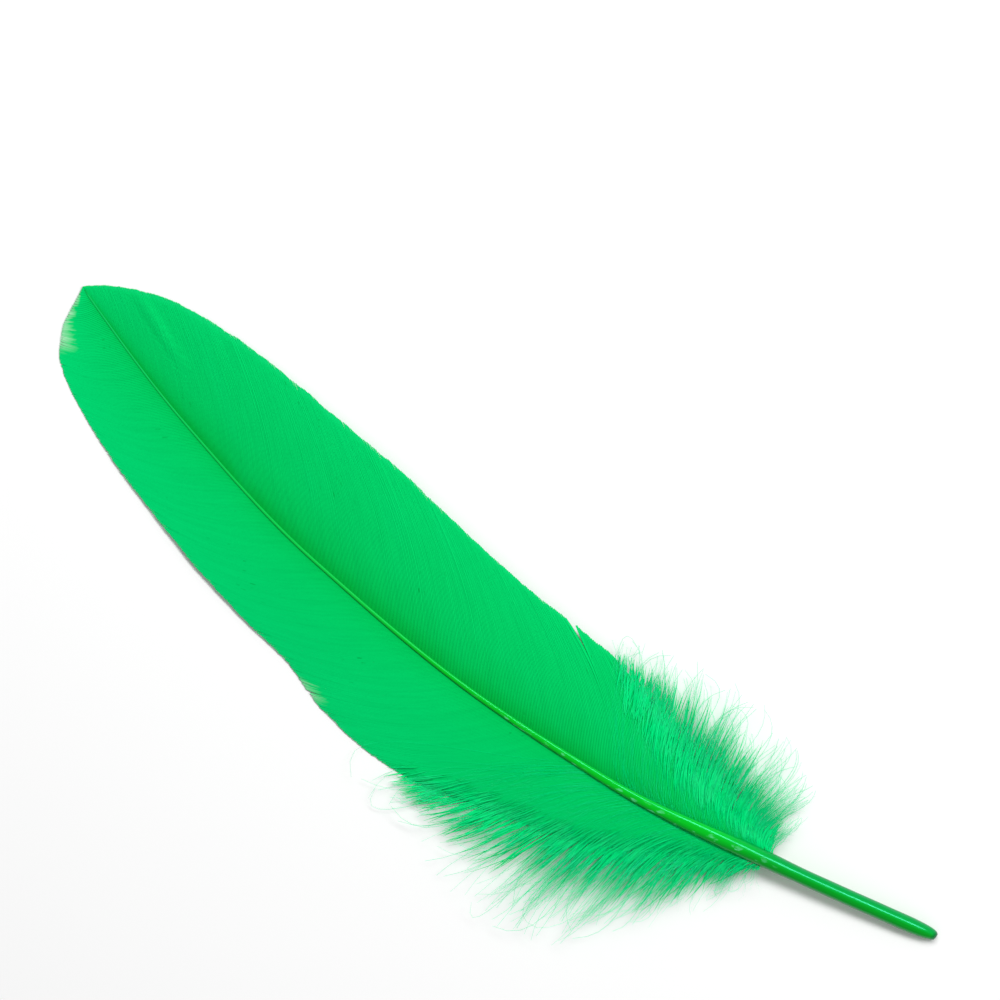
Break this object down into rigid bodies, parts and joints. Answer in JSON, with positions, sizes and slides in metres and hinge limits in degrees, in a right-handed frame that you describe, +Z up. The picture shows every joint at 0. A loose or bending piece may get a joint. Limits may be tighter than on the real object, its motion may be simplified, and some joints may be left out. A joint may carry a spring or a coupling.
{
  "type": "goose wing feather",
  "caption": "Dyed green goose wing feather with a bare quill, two curved vanes and loose down at their base, lying upper side up.",
  "frame": {"origin": "middle of the underside of the feather's box, on the surface that it lies on", "axes": "+X from the feather's tip towards the end of its quill, +Y across it towards the inner vane, +Z up out of its upper side"},
  "size_m": [0.2244, 0.0604, 0.0073],
  "materials": {
    "quill_horn": "glossy translucent dyed horn",
    "vane_barbs": "smooth satin dyed barbs",
    "down_barbs": "fluffy dyed down"
  },
  "bodies": {
    "root": {"quill_shaft": "quill_horn", "vane_outer": "vane_barbs", "vane_inner": "vane_barbs", "down_outer": "down_barbs", "down_inner": "down_barbs"}
  },
  "joints": []
}
